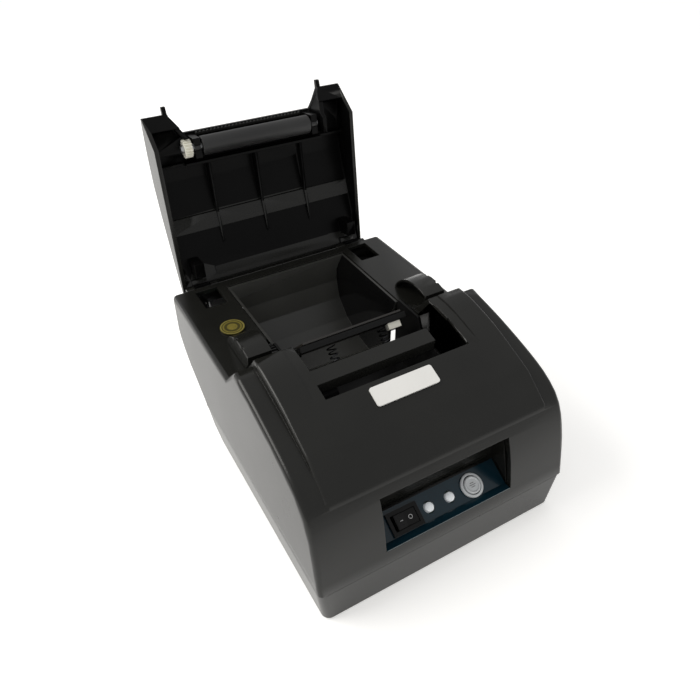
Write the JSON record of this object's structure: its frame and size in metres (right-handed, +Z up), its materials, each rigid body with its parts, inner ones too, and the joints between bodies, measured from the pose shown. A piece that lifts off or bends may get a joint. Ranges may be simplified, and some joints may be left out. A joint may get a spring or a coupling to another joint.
{
  "type": "receipt printer",
  "caption": "Compact desktop receipt printer with a hinged paper lid that carries the platen, an open paper bucket, a front control window and sockets at the back.",
  "frame": {"origin": "on the table, under the middle of the whole printer's bounding box with the lid wide open", "axes": "+Y from the front face to the back, +X to the right seen from the front, +Z up"},
  "size_m": [0.13, 0.2006, 0.1585],
  "materials": {
    "shell": "satin black moulded ABS with a fine even grain",
    "bucket": "smooth black moulded plastic, shinier than the case",
    "black_gloss": "polished black plastic",
    "navy_panel": "glossy dark blue overlay",
    "steel": "zinc plated pressed steel",
    "frame": "black coated pressed steel",
    "heat_sink": "black anodised aluminium",
    "ceramic": "glazed dark ceramic",
    "rubber": "matt black rubber",
    "ivory": "off-white acetal",
    "black_gear": "black acetal",
    "board": "green solder mask",
    "lamp": "milky clear lens",
    "button": "silver-white moulded cap",
    "label": "plain white film",
    "sticker": "dark gold foil"
  },
  "bodies": {
    "body": {"base_tray": "shell", "top_case": "shell", "tail_cover": "shell", "bearing_hood_left": "shell", "bearing_hood_right": "shell", "paper_bucket": "bucket", "paper_guide": "black_gloss", "mechanism_frame": "frame", "stepper_motor": "steel", "head_shaft": "steel", "paper_sensor": "black_gloss", "head_spring_left": "steel", "head_spring_right": "steel", "main_board": "board", "io_board_left": "board", "io_board_right": "board", "power_inlet": "black_gloss", "data_socket": "steel", "drawer_socket": "black_gloss", "panel_tub": "shell", "control_plate": "navy_panel", "rocker_housing": "black_gloss", "power_lamp": "lamp", "paper_lamp": "lamp", "key_ring": "steel", "panel_board": "board", "feed_switch": "black_gloss", "hinge_pin_left": "steel", "hinge_pin_right": "steel", "foot_1": "rubber", "foot_2": "rubber", "foot_3": "rubber", "foot_4": "rubber", "case_screw_1": "steel", "case_screw_2": "steel", "case_screw_3": "steel", "case_screw_4": "steel", "front_label": "label", "deck_sticker": "sticker"},
    "lid": {"lid_shell": "shell", "tear_bar": "shell", "platen_bushing_left": "ivory", "platen_bushing_right": "ivory"},
    "platen": {"platen_shaft": "steel", "platen_roller": "rubber", "platen_gear": "ivory"},
    "drive_gear": {"drive_gear": "black_gear"},
    "idler_gear": {"idler_gear": "black_gear"},
    "motor_pinion": {"motor_pinion": "steel"},
    "print_head": {"thermal_head": "ceramic", "heat_sink": "heat_sink", "head_connector": "ivory"},
    "rocker": {"power_rocker": "black_gloss"},
    "feed_key": {"feed_key": "button"}
  },
  "joints": [
    {"name": "lid_hinge", "type": "hinge", "parent": "body", "child": "lid", "pos_m": [0, 0.06615, 0.067], "axis": [1, 0, 0], "range_deg": [0, 97.5]},
    {"name": "platen_spin", "type": "hinge", "parent": "lid", "child": "platen", "pos_m": [-0.0027, 0.08599, 0.13953], "axis": [1, 0, 0], "continuous": true},
    {"name": "drive_spin", "type": "hinge", "parent": "body", "child": "drive_gear", "pos_m": [-0.03855, -0.00565, 0.0651], "axis": [1, 0, 0], "continuous": true},
    {"name": "idler_spin", "type": "hinge", "parent": "body", "child": "idler_gear", "pos_m": [-0.03855, -0.01737, 0.05631], "axis": [1, 0, 0], "continuous": true},
    {"name": "motor_spin", "type": "hinge", "parent": "body", "child": "motor_pinion", "pos_m": [-0.03855, -0.02536, 0.04927], "axis": [1, 0, 0], "continuous": true},
    {"name": "head_tilt", "type": "hinge", "parent": "body", "child": "print_head", "pos_m": [0, -0.00535, 0.0634], "axis": [1, 0, 0], "range_deg": [0, 2], "stiffness_Nm_per_rad": 0.05},
    {"name": "rocker_tilt", "type": "hinge", "parent": "body", "child": "rocker", "pos_m": [-0.0189, -0.09073, 0.02962], "axis": [0, 0.866, 0.5], "range_deg": [-16, 0]},
    {"name": "feed_press", "type": "slide", "parent": "body", "child": "feed_key", "axis": [0, 0.5, -0.866], "range_m": [0, 0.0008], "stiffness_N_per_m": 400}
  ],
  "couplings": [
    {"joint": "drive_spin", "follows": "idler_spin", "ratio": -1.0714},
    {"joint": "motor_spin", "follows": "idler_spin", "ratio": -2.5}
  ]
}
